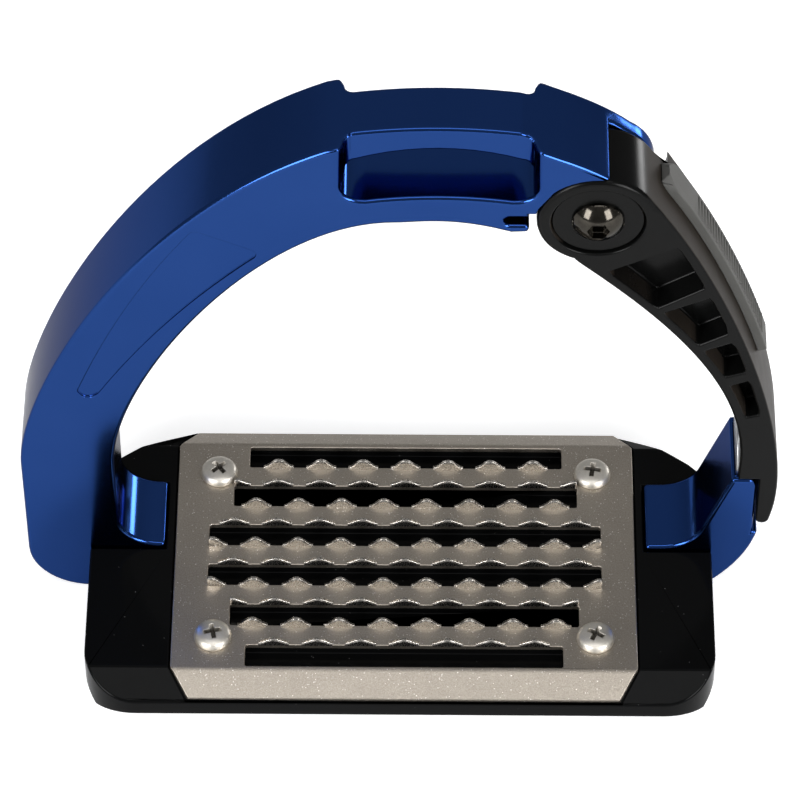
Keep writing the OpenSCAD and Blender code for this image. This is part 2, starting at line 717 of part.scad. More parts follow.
module rear_washer() {
    color(steel) difference() {
        pivot_round(cheek_r - 1, boss_back + run, cheek_y);
        pivot_round(sleeve_r + run, -half_t, half_t);
        // gap for the spring's leg
        translate([pivot_x, 0, pivot_z]) upright(0, half_t)
            sector(boss_r, 180 - leg_gap_angle, 180 + leg_gap_angle);
    }
}

// Centre line of the spring: a leg in the frame's slot, the coils, and a leg in the arm's groove
function spring_path() =
    let (steps = 24, n = spring_turns * steps)
    concat([[leg_root_x - pivot_x, spring_start_y, leg_rise]],
        [for (i = [0:n]) let (a = 180 + 360 * i / steps)
            [coil_r * cos(a), spring_start_y - spring_pitch * i / steps, coil_r * sin(a)]],
        [let (a = 180 + 360 * spring_turns)
            [leg_arm_r * cos(a), spring_end_y, leg_arm_r * sin(a)]]);

// A round wire along a path, as one closed skin
module wire(path, r, sides = 8) {
    last = len(path) - 1;
    ring = [for (i = [0:last])
        let (d = path[min(i + 1, last)] - path[max(i - 1, 0)], w = d / norm(d),
            u0 = cross(w, [0, 1, 0]), u = norm(u0) < 0.1 ? [1, 0, 0] : u0 / norm(u0), v = cross(w, u))
        each [for (k = [0:sides - 1]) path[i] + r * (cos(360 * k / sides) * u + sin(360 * k / sides) * v)]];
    polyhedron(ring, concat([[for (k = [0:sides - 1]) k]],
        [for (i = [0:last - 1], k = [0:sides - 1]) let (j = (k + 1) % sides)
            [i * sides + k, (i + 1) * sides + k, (i + 1) * sides + j, i * sides + j]],
        [[for (k = [0:sides - 1]) last * sides + sides - 1 - k]]));
}

module return_spring() {
    color(steel) translate([pivot_x, 0, pivot_z]) wire(spring_path(), wire_d / 2);
}

frame();
footbed();
sole_plate();
tread_plate();
tread_screws();
tread_inserts();
base_screws();
base_inserts();
keeper_disc();
release_arm();
arm_bumper();
arm_magnet();
pivot_screw();
pivot_sleeve();
front_washer();
rear_washer();
return_spring();
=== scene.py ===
# Safety stirrup iron: an anodised arch with a leather eye, an overhanging grater tread, and a
# sprung plastic arm on the outer side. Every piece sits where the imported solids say, in metres.
import math

import bmesh
import bpy
from mathutils import Matrix, Vector
from mathutils.bvhtree import BVHTree


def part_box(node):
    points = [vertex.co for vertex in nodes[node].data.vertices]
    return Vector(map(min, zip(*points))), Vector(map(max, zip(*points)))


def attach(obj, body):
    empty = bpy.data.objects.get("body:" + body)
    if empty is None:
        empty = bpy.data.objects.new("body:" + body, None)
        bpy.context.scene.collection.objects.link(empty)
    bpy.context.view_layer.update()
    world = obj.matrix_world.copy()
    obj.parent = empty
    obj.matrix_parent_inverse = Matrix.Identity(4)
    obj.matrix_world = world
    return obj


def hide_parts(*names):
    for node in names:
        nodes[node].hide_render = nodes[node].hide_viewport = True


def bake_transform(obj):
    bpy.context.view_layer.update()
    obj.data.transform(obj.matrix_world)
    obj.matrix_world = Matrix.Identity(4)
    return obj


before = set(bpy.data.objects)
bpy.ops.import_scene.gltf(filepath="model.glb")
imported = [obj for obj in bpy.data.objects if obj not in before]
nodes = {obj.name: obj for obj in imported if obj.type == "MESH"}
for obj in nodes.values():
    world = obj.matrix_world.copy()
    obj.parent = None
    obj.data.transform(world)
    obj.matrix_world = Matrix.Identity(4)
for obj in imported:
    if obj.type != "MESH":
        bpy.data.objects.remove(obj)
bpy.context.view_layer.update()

# --- Frame -------------------------------------------------------------------------------------
# One forged and machined piece of aluminium: base bar, closed branch, crown with the leather eye,
# cheek for the arm's pivot and a catch tower. Tumbled edges, then clear blue anodising.
MM = 0.001


class Wire:
    """A socket in a node tree. Arithmetic on it adds the nodes that work it out."""

    def __init__(self, tree, socket=None):
        self.tree, self.socket = tree, socket

    def add(self, kind, inputs=None, out=0, stops=None, **settings):
        node = self.tree.nodes.new(kind)
        for key, value in settings.items():
            setattr(node, key, value)
        if stops:
            ramp = node.color_ramp.elements
            while len(ramp) < len(stops):
                ramp.new(0.5)
            for element, (place, tone) in zip(ramp, stops):
                element.position = place
                element.color = (tone, tone, tone, 1) if isinstance(tone, float) else (*tone, 1)
        for key, value in (inputs or {}).items():
            self.feed(node.inputs[key], value)
        return Wire(self.tree, node.outputs[out] if node.outputs else None)

    def feed(self, target, value):
        if isinstance(value, Wire):
            self.tree.links.new(value.socket, target)
        elif target.type == "RGBA":
            target.default_value = (*value, 1)
        else:
            target.default_value = value

    def maths(self, operation, first, second):
        if "VECTOR" in [w.socket.type for w in (first, second) if isinstance(w, Wire)]:
            pair = [w if isinstance(w, (Wire, tuple)) else (w, w, w) for w in (first, second)]
            return self.add("ShaderNodeVectorMath", dict(enumerate(pair)), operation=operation)
        return self.add("ShaderNodeMath", {0: first, 1: second}, operation=operation)

    def __add__(self, other):
        return self.maths("ADD", self, other)

    __radd__ = __add__

    def __sub__(self, other):
        return self.maths("SUBTRACT", self, other)

    def __rsub__(self, other):
        return self.maths("SUBTRACT", other, self)

    def __mul__(self, other):
        return self.maths("MULTIPLY", self, other)

    __rmul__ = __mul__

    def __gt__(self, other):
        return self.maths("GREATER_THAN", self, other)

    def ramp(self, *stops):
        return self.add("ShaderNodeValToRGB", {"Fac": self}, stops=stops)

    def between(self, dark, light):
        """Colour that goes from dark to light as this value goes from 0 to 1."""
        return self.add("ShaderNodeMix", {0: self, 6: dark, 7: light}, out=2, data_type="RGBA")


class Finish(Wire):
    """A material on a Principled shader, with patterns measured in millimetres."""

    def __init__(self, name, **sockets):
        self.material = bpy.data.materials.new(name)
        self.material.use_nodes = True
        super().__init__(self.material.node_tree)
        self.shader = self.tree.nodes["Principled BSDF"]
        self.place = self.add("ShaderNodeTexCoord", out=3) * (1 / MM)
        self.set(**sockets)

    def set(self, **sockets):
        for name, value in sockets.items():
            self.feed(self.shader.inputs[name.replace("_", " ")], value)

    def noise(self, size, detail=2.0, stretch=(1, 1, 1), roughness=0.5):
        place = self.place * tuple(1 / (size * s) for s in stretch)
        return self.add("ShaderNodeTexNoise", {"Vector": place, "Scale": 1.0, "Detail": detail,
                                               "Roughness": roughness})

    def specks(self, size, share):
        """1 in a scattered share of cells, else 0."""
        cells = self.add("ShaderNodeTexVoronoi", {"Vector": self.place * (1 / size), "Scale": 1.0}, out=1)
        red = self.add("ShaderNodeSeparateColor", {0: cells})
        return red > 1 - share

    def relief(self, height, depth):
        """Bump whose height 0 to 1 stands for a depth in millimetres."""
        bump = self.add("ShaderNodeBump", {"Height": height, "Distance": depth * MM, "Strength": 1.0})
        self.set(Normal=bump)


def cast(node, name, width, angle=14, segments=3, reshape=None, share=lambda edge: 1):
    """The node's solid as one closed skin. An edge above the angle is rounded by its share of a
    width in millimetres, and by less where a face beside it is narrow."""
    mesh = nodes[node].data.copy()
    mesh.materials.clear()
    skin = bmesh.new()
    skin.from_mesh(mesh)
    bmesh.ops.remove_doubles(skin, verts=skin.verts, dist=0.003 * MM)
    bmesh.ops.dissolve_limit(skin, angle_limit=math.radians(0.05), verts=skin.verts, edges=skin.edges)
    bmesh.ops.dissolve_degenerate(skin, dist=0.16 * width * MM, edges=skin.edges)
    if reshape:
        reshape(skin)
    rounding = skin.edges.layers.float.new("bevel_weight_edge")
    for e in skin.edges:
        if e.calc_face_angle(0) > math.radians(angle):
            room = min(f.calc_area() for f in e.link_faces) / e.calc_length()
            e[rounding] = min(share(e), 0.4 * room / (width * MM))
    solid = BVHTree.FromBMesh(skin)
    skin.to_mesh(mesh)
    skin.free()
    piece = bpy.data.objects.new(name, mesh)
    bpy.context.collection.objects.link(piece)
    soften(piece, width, None, segments)
    settle(piece)
    for v in piece.data.vertices:
        spot, facing, _, off = solid.find_nearest(v.co)
        if off > 0.6 * width * MM or (v.co - spot).dot(facing) > 0.02 * MM:
            v.co = spot
    even(piece)
    return piece


def soften(piece, width, angle, segments):
    """Rounds the edges above an angle, or by each edge's own weight where no angle is given."""
    piece.data.shade_smooth()
    edge = piece.modifiers.new("rounded_edges", "BEVEL")
    edge.width, edge.segments = width * MM, segments
    edge.limit_method = "ANGLE" if angle else "WEIGHT"
    edge.angle_limit = math.radians(angle or 30)
    edge.use_clamp_overlap = False


def settle(piece):
    """Turns what the piece's modifiers make into its plain mesh."""
    bpy.context.view_layer.update()
    seen = piece.evaluated_get(bpy.context.evaluated_depsgraph_get())
    mesh = bpy.data.meshes.new_from_object(seen)
    piece.modifiers.clear()
    piece.data = mesh


def even(piece):
    """Lets the large faces set the shading, so that flats look flat up to their rounded edges."""
    piece.modifiers.new("flat_faces", "WEIGHTED_NORMAL")


def mount(piece, finish, body, slot, *replaced):
    """Gives the piece its finish, its body and the CAD nodes it stands for. The slot is not used."""
    piece.data.materials.clear()
    piece.data.materials.append(finish.material)
    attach(piece, body)
    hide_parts(*replaced)


blue = Finish("anodised_blue", Metallic=1.0, Specular_Tint=(0.54, 0.53, 0.54))
blue_cloud = blue.noise(22, 3.0)
blue_scuff = blue.noise(0.5, 3.0, stretch=(9, 1, 2))
blue.set(Base_Color=blue_cloud.between((0.0165, 0.054, 0.215), (0.0215, 0.064, 0.245)),
         Roughness=0.10 + 0.06 * blue_cloud + 0.03 * blue_scuff)
blue.relief(blue_scuff * 0.6 + blue.noise(0.12, 1.0) * 0.4, 0.002)
eye_middle, eye_half, eye_floor = 6.6, 18.7, 125
flare_reach, flare_depth = 4, 0.9
pivot_x, pivot_z, cut_radius = 38.1, 120.5, 13.4


def flare_pockets(skin):
    """The eye's pockets widen towards the frame's two faces, as the mill's taper leaves them. The
    curve's facets beside them are joined, so that the edge there has room to be rounded."""
    seams = []
    for e in skin.edges:
        a, b = (v.co / MM for v in e.verts)
        beyond = abs(a.x - eye_middle) - eye_half
        if a.z > eye_floor and abs(a.x - b.x) < 0.05 and abs(a.y - b.y) > 15 and 0.01 < beyond < 3:
            seams.append(e)
    bmesh.ops.dissolve_edges(skin, edges=seams, use_verts=True)
    for v in skin.verts:
        x, y, z = v.co / MM
        near = 1 - abs(abs(x - eye_middle) - eye_half) / flare_reach
        if z > eye_floor and abs(y) > 9 and near > 0:
            v.co.x += math.copysign(flare_depth, x - eye_middle) * near * MM


def crisp_cut(edge):
    """The front edge of the boss's cut-out stays crisp, for the shoulder ends there in a point."""
    x, y, z = (edge.verts[0].co + edge.verts[1].co) / 2 / MM
    return 0.4 if y < -9 and math.hypot(x - pivot_x, z - pivot_z) < cut_radius else 1


arch = cast("frame", "frame_visual", 0.9, reshape=flare_pockets, share=crisp_cut)
mount(arch, blue, "iron", "anodised_blue", "frame")

# --- Keeper disc -------------------------------------------------------------------------------
# Nickel-plated steel disc, pressed into the saw cut in the catch tower. The arm's magnet holds it.
nickel = Finish("keeper_nickel", Metallic=1.0)
nickel_grain = nickel.noise(0.4, 3.0, stretch=(1, 8, 1))
nickel.set(Base_Color=nickel_grain.between((0.42, 0.43, 0.45), (0.60, 0.61, 0.62)),
           Roughness=0.24 + 0.14 * nickel_grain)
nickel.relief(nickel_grain, 0.002)
mount(cast("keeper_disc", "keeper_disc_visual", 0.25), nickel, "iron", "keeper_steel", "keeper_disc")

# --- Sole plate and base screws ----------------------------------------------------------------
# Flat moulded plate under the footbed. Two countersunk hex screws pull plate, frame and footbed
# together from below, into brass inserts moulded into the footbed.
satin = Finish("satin_black_plastic", Specular_IOR_Level=0.06)
satin_grain = satin.noise(0.22, 2.0)
satin_cloud = satin.noise(9, 3.0)
satin.set(Base_Color=satin_cloud.between((0.0034, 0.0036, 0.0038), (0.0052, 0.0052, 0.0052)),
          Roughness=0.34 + 0.10 * satin_grain + 0.06 * satin_cloud)
satin.relief(satin_grain, 0.006)
mount(cast("sole_plate", "sole_plate_visual", 0.4), satin, "iron", "black_satin_plastic", "sole_plate")

bright = Finish("bright_screw_steel", Metallic=1.0)
bright_turned = bright.noise(0.6, 2.0)
bright.set(Base_Color=bright_turned.between((0.42, 0.40, 0.37), (0.60, 0.58, 0.54)),
           Roughness=0.22 + 0.12 * bright_turned)
bright.relief(bright_turned, 0.008)
mount(cast("base_screws", "base_screws_visual", 0.15), bright, "iron", "screw_steel", "base_screws")

brass = Finish("turned_brass", Metallic=1.0)
brass_knurl = brass.add("ShaderNodeTexWave", {"Vector": brass.place, "Scale": 1.3, "Distortion": 0.4})
brass.set(Base_Color=brass_knurl.between((0.42, 0.27, 0.09), (0.62, 0.45, 0.19)),
          Roughness=0.30 + 0.12 * brass_knurl)
brass.relief(brass_knurl, 0.05)
mount(cast("base_inserts", "base_inserts_visual", 0.2), brass, "iron", "brass_inserts", "base_inserts")

# --- Footbed -----------------------------------------------------------------------------------
# Polished mould, glass-black nylon: carries the tread plate in a recess with sloped rims, notched
# round the frame on both sides. Four brass inserts for the tread screws are moulded in.
gloss = Finish("gloss_black_plastic", Specular_IOR_Level=0.05)
gloss_flow = gloss.noise(11, 2.0)
gloss_smudge = gloss.noise(3.5, 4.0).ramp((0.45, 0.0), (0.72, 1.0))
gloss_dust = gloss.specks(0.2, 0.0005)
gloss.set(Base_Color=gloss_dust.between((0.0026, 0.0027, 0.0028), (0.05, 0.05, 0.05)),
          Roughness=0.10 + 0.06 * gloss_smudge + 0.3 * gloss_dust)
gloss.relief(gloss_flow, 0.03)
mount(cast("footbed", "footbed_visual", 0.45), gloss, "iron", "black_gloss_plastic", "footbed")
mount(cast("tread_inserts", "tread_inserts_visual", 0.2), brass, "iron", "brass_inserts", "tread_inserts")

# --- Tread plate -------------------------------------------------------------------------------
# Stainless sheet, bent down along its front and back, with six pierced slots. Blasted all over, so
# it is satin; its sparkle is painted as scattered near-white specks (painted glints). The slots'
# edges keep a brighter shear line.
tread_low, tread_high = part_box("tread_plate")
plate_half, tread_top, plate_thick = tread_high.x / MM, 14.4, 1.3
strip_run, strip_drop, bend_run, end_cut = 5.99, 3.32, 1.2, 3.8
crease_front = tread_low.y / MM + strip_run
crease_back = tread_high.y / MM - strip_run
slot_depth, slot_pitch, slot_margin = 5.5, 10.65, 0.3
slot_halves = (33.9, 37.1, 42.1, 42.1, 37.1, 33.6)
slot_fronts = [crease_back - slot_margin - slot_depth - i * slot_pitch for i in range(6)]


def new_piece(name, skin):
    """An object in the scene from a bmesh whose lengths are in millimetres."""
    bmesh.ops.recalc_face_normals(skin, faces=skin.faces)
    mesh = bpy.data.meshes.new(name)
    skin.transform(Matrix.Scale(MM, 4))
    skin.to_mesh(mesh)
    skin.free()
    mesh.shade_smooth()
    piece = bpy.data.objects.new(name, mesh)
    bpy.context.collection.objects.link(piece)
    return piece


def prism(skin, outline, axis, low, high):
    """Adds a closed prism: the outline's two coordinates lie across the axis 0, 1 or 2."""
    rings = []
    for depth in (low, high):
        rings.append([skin.verts.new(p[:axis] + (depth,) + p[axis:]) for p in outline])
    skin.faces.new(rings[0][::-1])
    skin.faces.new(rings[1])
    for i in range(len(outline)):
        j = (i + 1) % len(outline)
        skin.faces.new((rings[0][i], rings[0][j], rings[1][j], rings[1][i]))


def carve(piece, cutter):
    """Cuts one piece's shape out of another for good, and removes the cutter."""
    cut = piece.modifiers.new("cut", "BOOLEAN")
    cut.object, cut.solver, cut.operation = cutter, "EXACT", "DIFFERENCE"
    settle(piece)
    bpy.data.objects.remove(cutter)


def round_box(half_x, y0, y1, radius, steps=4):
    """Plan of a slot with rounded corners."""
    plan = []
    for cx, cy, start in ((half_x - radius, y1 - radius, 0), (radius - half_x, y1 - radius, 90),
                          (radius - half_x, y0 + radius, 180), (half_x - radius, y0 + radius, 270)):
        for k in range(steps + 1):
            a = math.radians(start + 90 * k / steps)
            plan.append((cx + radius * math.cos(a), cy + radius * math.sin(a)))
    return plan


def bend(crease, way):
    """Section points of the top face from a crease outwards, round its bend."""
    slope = strip_drop / strip_run
    points = [(crease + way * bend_run * t, tread_top - slope * bend_run * t * t / 2)
              for t in (0, 0.35, 0.7, 1)]
    return points + [(crease + way * strip_run, tread_top - slope * (strip_run - bend_run / 2))]


top_line = bend(crease_front, -1)[::-1] + bend(crease_back, 1)
section = top_line + [(y, z - plate_thick) for y, z in top_line[::-1]]
skin = bmesh.new()
prism(skin, section, 0, -plate_half, plate_half)
for sx in (1, -1):
    for crease, sy in ((crease_front, -1), (crease_back, 1)):
        across = Vector((sx * strip_run, sy * end_cut, 0))
        bmesh.ops.bisect_plane(skin, geom=skin.verts[:] + skin.edges[:] + skin.faces[:], clear_outer=True,
                               plane_co=(sx * plate_half, crease, 0), plane_no=across)
        bmesh.ops.holes_fill(skin, edges=[e for e in skin.edges if e.is_boundary])
tread = new_piece("tread_plate_visual", skin)
skin = bmesh.new()
for half, front in zip(slot_halves, slot_fronts):
    prism(skin, round_box(half, front, front + slot_depth, 0.5), 2, 5, 20)
carve(tread, new_piece("slots", skin))
soften(tread, 0.2, angle=40, segments=2)
even(tread)
steel = Finish("satin_tread_steel", Metallic=1.0)
steel_grit = steel.noise(0.3, 3.0, roughness=0.75).ramp((0.25, 0.0), (0.75, 1.0))
steel_cloud = steel.noise(7, 3.0)
# Painted glints: a scattered share of specks is painted near white in the colour.
steel_painted_glint = steel.specks(0.16, 0.008)
steel_tone = (steel_grit * 0.8 + steel_cloud * 0.2).between((0.27, 0.235, 0.195), (0.55, 0.50, 0.435))
steel.set(Base_Color=steel_painted_glint.between(steel_tone, (0.95, 0.92, 0.88)),
          Roughness=0.34 + 0.16 * steel_grit)
steel.relief(steel_grit, 0.03)
mount(tread, steel, "iron", "tread_steel", "tread_plate")

# --- Tread teeth -------------------------------------------------------------------------------
# Bell-shaped lips pressed up along the slots' edges, tall at a slot's front edge and low at its
# back edge, half a pitch apart. Their rims are burnished by the tool and by boots.
tooth_width, tooth_depth, tooth_pitch, tooth_root = 6.5, 1.0, 9.2, 0.3


def lip_shape(name, rise):
    """One lip, standing on the plate's top at the origin, with a rounded rim."""
    half = tooth_width / 2
    bell = [(half * k / 9, rise * abs(math.cos(math.pi * k / 18)) ** 1.7) for k in range(-9, 10)]
    skin = bmesh.new()
    prism(skin, bell + [(half, -tooth_root), (-half, -tooth_root)], 1, -tooth_depth / 2, tooth_depth / 2)
    rim = [e for e in skin.edges if e.calc_face_angle(0) > 0.9 and min(v.co.z for v in e.verts) > -0.01]
    bmesh.ops.bevel(skin, geom=rim, offset=0.16, segments=2, affect="EDGES", profile=0.5)
    return new_piece(name, skin)


def grow(name, inputs, steps):
    """A geometry tree with named inputs; steps gets the tree and its inputs, and returns the shape."""
    tree = bpy.data.node_groups.new(name, "GeometryNodeTree")
    for label, kind in inputs.items():
        tree.interface.new_socket(label, in_out="INPUT", socket_type="NodeSocket" + kind)
    tree.interface.new_socket("Shape", in_out="OUTPUT", socket_type="NodeSocketGeometry")
    start, base = tree.nodes.new("NodeGroupInput"), Wire(tree)
    given = {label: Wire(tree, start.outputs[label]) for label in inputs}
    whole = base.add("GeometryNodeRealizeInstances", {0: steps(base, given)})
    base.add("NodeGroupOutput", {0: base.add("GeometryNodeSetMaterial", {0: whole, 2: given["Finish"]})})
    return tree


def grown(name, tree, values):
    """Runs a geometry tree with its named values, and gives its shape as a plain piece."""
    piece = bpy.data.objects.new(name, bpy.data.meshes.new(name))
    bpy.context.collection.objects.link(piece)
    maker = piece.modifiers.new("maker", "NODES")
    maker.node_group = tree
    for item in tree.interface.items_tree:
        if item.in_out == "INPUT":
            maker[item.identifier] = values[item.name]
    settle(piece)
    return piece


def tooth_row(base, sizes):
    first = base.add("ShaderNodeCombineXYZ", {0: sizes["Start"], 1: sizes["Line"], 2: sizes["Height"]})
    step = base.add("ShaderNodeCombineXYZ", {0: sizes["Pitch"]})
    row = base.add("GeometryNodeMeshLine", {"Count": sizes["Count"], "Start Location": first,
                                            "Offset": step})
    lip = base.add("GeometryNodeObjectInfo", {0: sizes["Lip"]}, out=4)
    return base.add("GeometryNodeInstanceOnPoints", {"Points": row, "Instance": lip})


burnished = Finish("burnished_tooth_steel", Metallic=1.0)
burnished_rub = burnished.noise(0.3, 2.0)
burnished.set(Base_Color=burnished_rub.between((0.62, 0.59, 0.54), (0.74, 0.70, 0.65)),
              Roughness=0.20 + 0.14 * burnished_rub)
burnished.relief(burnished_rub, 0.01)
row_tree = grow("tooth_row", {"Lip": "Object", "Count": "Int", "Start": "Float", "Line": "Float",
                              "Height": "Float", "Pitch": "Float", "Finish": "Material"}, tooth_row)
tall_lip, low_lip = lip_shape("tall_lip", 2.3), lip_shape("low_lip", 1.3)
rows = [(tall_lip, i, 0.0, 0.0 if i == 0 else tooth_pitch / 2) for i in range(5)]
rows += [(low_lip, i, slot_depth + tooth_depth / 2, 0.0) for i in range(1, 6)]
teeth = bmesh.new()
for lip, i, ahead, shift in rows:
    half = slot_halves[i]
    first = shift - tooth_pitch * math.floor((half + shift) / tooth_pitch)
    row = grown("row", row_tree, {
        "Lip": lip, "Count": int((half - first) // tooth_pitch) + 1, "Start": first * MM,
        "Line": (slot_fronts[i] + ahead) * MM, "Height": tread_top * MM, "Pitch": tooth_pitch * MM,
        "Finish": burnished.material})
    part = bmesh.new()
    part.from_mesh(row.data)
    for side in (1, -1):
        bmesh.ops.bisect_plane(part, geom=part.verts[:] + part.edges[:] + part.faces[:], clear_outer=True,
                               plane_co=(side * half * MM, 0, 0), plane_no=(side, 0, 0))
        bmesh.ops.holes_fill(part, edges=[e for e in part.edges if e.is_boundary])
    part.to_mesh(row.data)
    teeth.from_mesh(row.data)
    part.free()
    bpy.data.objects.remove(row)
for lip in (tall_lip, low_lip):
    bpy.data.objects.remove(lip)
teeth.transform(Matrix.Scale(1 / MM, 4))
tooth_set = new_piece("tread_teeth", teeth)
even(tooth_set)
mount(tooth_set, burnished, "iron", "tread_steel", "tread_plate")

# --- Tread screws ------------------------------------------------------------------------------
# Four M4 cross-recessed pan heads in stainless steel, driven home by hand, so that their crosses
# stand at different angles. Inside their cross recesses they are painted near black, as painted shade.
screw_low, screw_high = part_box("tread_screws")
head_radius, head_height, shank_radius = 4.0, 2.4, 2.0
screw_turns = ((-1, 1, 40), (1, 1, -8), (-1, -1, 12), (1, -1, 62))


def lathe(skin, profile, steps=64):
    """Adds a closed solid of revolution about Z; the profile runs from top axis to bottom axis."""
    rings = []
    for radius, z in profile:
        if radius == 0:
            rings.append([skin.verts.new((0, 0, z))] * steps)
        else:
            turn = [2 * math.pi * k / steps for k in range(steps)]
            rings.append([skin.verts.new((radius * math.cos(a), radius * math.sin(a), z)) for a in turn])
    for upper, lower in zip(rings, rings[1:]):
        for k in range(steps):
            j = (k + 1) % steps
            skin.faces.new(dict.fromkeys((upper[k], lower[k], lower[j], upper[j])))


skin = bmesh.new()
dome_radius, dome_height = 3.72, 1.25
dome = [(dome_radius * math.sin(math.radians(a)),
         head_height - dome_height + dome_height * math.cos(math.radians(a)))
        for a in (0, 12, 24, 36, 48, 60, 72, 84)]
length = (screw_high.z - screw_low.z) / MM - head_height
lathe(skin, dome + [(3.88, 0.9), (head_radius, 0.55), (head_radius, 0.2), (head_radius - 0.2, 0),
                    (shank_radius, 0), (shank_radius, 0.3 - length), (shank_radius - 0.3, -length),
                    (0, -length)])
screw = new_piece("cross_screw", skin)
for angle in (0, 90):
    skin = bmesh.new()
    prism(skin, [(-2.3, 3), (-1.0, 0.5), (1.0, 0.5), (2.3, 3)], 1, -0.5, 0.5)
    bmesh.ops.rotate(skin, verts=skin.verts, matrix=Matrix.Rotation(math.radians(angle), 3, "Z"))
    carve(screw, new_piece("wing", skin))
screw.modifiers.new("worn_edges", "BEVEL").width = 0.09 * MM
settle(screw)
# Painted shade: marks the points inside the cross recess, which the finish paints near black.
recess_shade = screw.data.attributes.new("recess_shade", "FLOAT", "POINT")
for spot, v in zip(recess_shade.data, screw.data.vertices):
    out = math.hypot(v.co.x, v.co.y) / MM
    spot.value = out < 2.2 and 0.4 * MM < v.co.z < (head_height - 0.24 - 0.10 * out ** 2) * MM
spots = bpy.data.meshes.new("screw_spots")
mid_x, mid_y = (screw_low.x + screw_high.x) / 2, (screw_low.y + screw_high.y) / 2
reach_x, reach_y = screw_high.x - mid_x - head_radius * MM, screw_high.y - mid_y - head_radius * MM
spots.from_pydata([(mid_x + sx * reach_x, mid_y + sy * reach_y, tread_top * MM)
                   for sx, sy, _ in screw_turns], [], [])
turns = spots.attributes.new("turn", "FLOAT_VECTOR", "POINT")
turns.data.foreach_set("vector", [v for _, _, a in screw_turns for v in (0, 0, math.radians(a))])
places = bpy.data.objects.new("screw_spots", spots)
bpy.context.collection.objects.link(places)


def turned_set(base, sizes):
    points = base.add("GeometryNodeObjectInfo", {0: sizes["Places"]}, out=4)
    shape = base.add("GeometryNodeObjectInfo", {0: sizes["Shape"]}, out=4)
    turn = base.add("GeometryNodeInputNamedAttribute", {"Name": "turn"}, data_type="FLOAT_VECTOR")
    return base.add("GeometryNodeInstanceOnPoints", {"Points": points, "Instance": shape, "Rotation": turn})


pan_steel = Finish("cross_screw_steel", Metallic=1.0)
pan_turned = pan_steel.noise(0.45, 3.0)
# The recess mark darkens the colour to near black and makes it rougher: painted shade.
pan_recess_shade = pan_steel.add("ShaderNodeAttribute", out=2, attribute_name="recess_shade")
pan_tone = pan_turned.between((0.60, 0.57, 0.51), (0.80, 0.76, 0.69))
pan_steel.set(Base_Color=(pan_recess_shade * (0.75 + 0.25 * pan_turned)).between(pan_tone, (0.030, 0.024, 0.018)),
              Roughness=0.36 + 0.12 * pan_turned + 0.14 * pan_recess_shade)
pan_steel.relief(pan_turned, 0.012)
turned_tree = grow("turned_set", {"Places": "Object", "Shape": "Object", "Finish": "Material"}, turned_set)
screws = grown("tread_screws_visual", turned_tree,
               {"Places": places, "Shape": screw, "Finish": pan_steel.material})
for spare in (places, screw):
    bpy.data.objects.remove(spare)
even(screws)
mount(screws, pan_steel, "iron", "screw_steel", "tread_screws")

# --- Pivot bearing and spring ------------------------------------------------------------------
# A steel sleeve clamped against the cheek is the arm's bearing, with a thin washer behind the
# boss. A round-wire torsion spring lies round it, one leg in the frame's slot and one in the arm.
mount(cast("pivot_sleeve", "pivot_sleeve_visual", 0.12), bright, "iron", "screw_steel", "pivot_sleeve")
mount(cast("rear_washer", "rear_washer_visual", 0.08), bright, "iron", "screw_steel", "rear_washer")
wire_steel = Finish("oiled_spring_wire", Metallic=1.0)
wire_draw = wire_steel.noise(0.5, 2.0)
wire_steel.set(Base_Color=wire_draw.between((0.22, 0.22, 0.23), (0.40, 0.39, 0.38)),
               Roughness=0.22 + 0.12 * wire_draw)
spring = cast("return_spring", "return_spring_visual", 0.05, angle=60)
spring.data.materials.append(wire_steel.material)
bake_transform(spring)
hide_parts("return_spring")

# --- Release arm -------------------------------------------------------------------------------
# Glass-filled nylon moulding: a thick boss with a counterbore, then a tapering blade that is
# lightened by four deep pockets on each face, and a forked toe that shuts over the catch tower.
pivot, boss_radius, boss_face = Vector((pivot_x, 0, pivot_z)) * MM, 12.2 * MM, -9.7 * MM


def boss_first(edge):
    """The boss's front rim is rounded in full, the thin ribs round the pockets by less, and the
    wedge behind, where the arm's edge meets the room for the cheek, hardly at all."""
    middle = (edge.verts[0].co + edge.verts[1].co) / 2
    off = middle - pivot
    on_rim = abs(math.hypot(off.x, off.z) - boss_radius) < 0.1 * MM and middle.y < boss_face + 0.1 * MM
    on_wedge = math.hypot(off.x - 14.1 * MM, off.z) < 1.6 * MM and middle.y > 0
    return 1 if on_rim else 0.04 if on_wedge else 0.45


arm_black = Finish("arm_black_plastic", Specular_IOR_Level=0.10)
arm_grain = arm_black.noise(0.3, 2.0)
arm_cloud = arm_black.noise(6, 3.0)
arm_facing = arm_black.add("ShaderNodeSeparateXYZ", {0: arm_black.add("ShaderNodeTexCoord", out=1)}, out=0)
# Painted sheen: faces turned outward (+X) are painted lighter, brown-grey, and made rougher.
arm_painted_sheen = arm_facing.ramp((0.70, 0.0), (0.84, 1.0)) * (0.6 + 0.4 * arm_cloud)
arm_tone = arm_cloud.between((0.0016, 0.0018, 0.0018), (0.0028, 0.0028, 0.0027))
arm_black.set(Base_Color=arm_painted_sheen.between(arm_tone, (0.026, 0.021, 0.017)),
              Roughness=0.17 + 0.05 * arm_grain + 0.06 * arm_cloud + 0.22 * arm_painted_sheen)
arm_black.relief(arm_grain * 0.3 + arm_cloud * 0.7, 0.010)
arm_body = cast("release_arm", "release_arm_visual", 1.2, share=boss_first)
mount(arm_body, arm_black, "arm", "black_satin_plastic", "release_arm")
mount(cast("arm_magnet", "arm_magnet_visual", 0.3), nickel, "arm", "keeper_steel", "arm_magnet")

